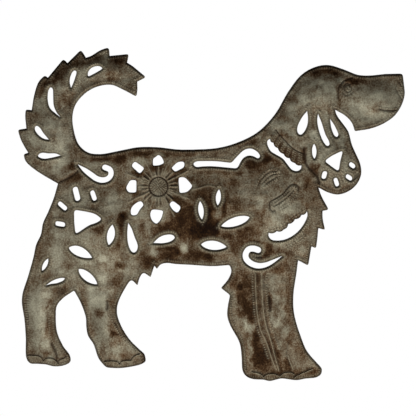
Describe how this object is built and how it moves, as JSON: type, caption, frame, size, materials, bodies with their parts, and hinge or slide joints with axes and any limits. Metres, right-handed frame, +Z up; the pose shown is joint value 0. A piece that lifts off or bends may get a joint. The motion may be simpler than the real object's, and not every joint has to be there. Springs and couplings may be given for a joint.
{
  "type": "pierced steel dog wall sculpture",
  "caption": "Flat wall sculpture of a standing dog, cut from one steel sheet, pierced with leaf and paw shapes, chased and lightly domed, with a curled tufted tail.",
  "frame": {"origin": "on the flat back of the sheet, where it rests against the wall, just above the left end of the long slot in the back that hangs on a nail", "axes": "+X towards the nose, +Y into the wall, +Z up; the worked front faces -Y and the wall is the plane y = 0"},
  "size_m": [0.5795, 0.008, 0.4994],
  "materials": {
    "sheet": "hand-hammered drum steel with a mottled brown-grey patina under satin lacquer"
  },
  "bodies": {
    "root": {"dog": "sheet"}
  },
  "joints": []
}
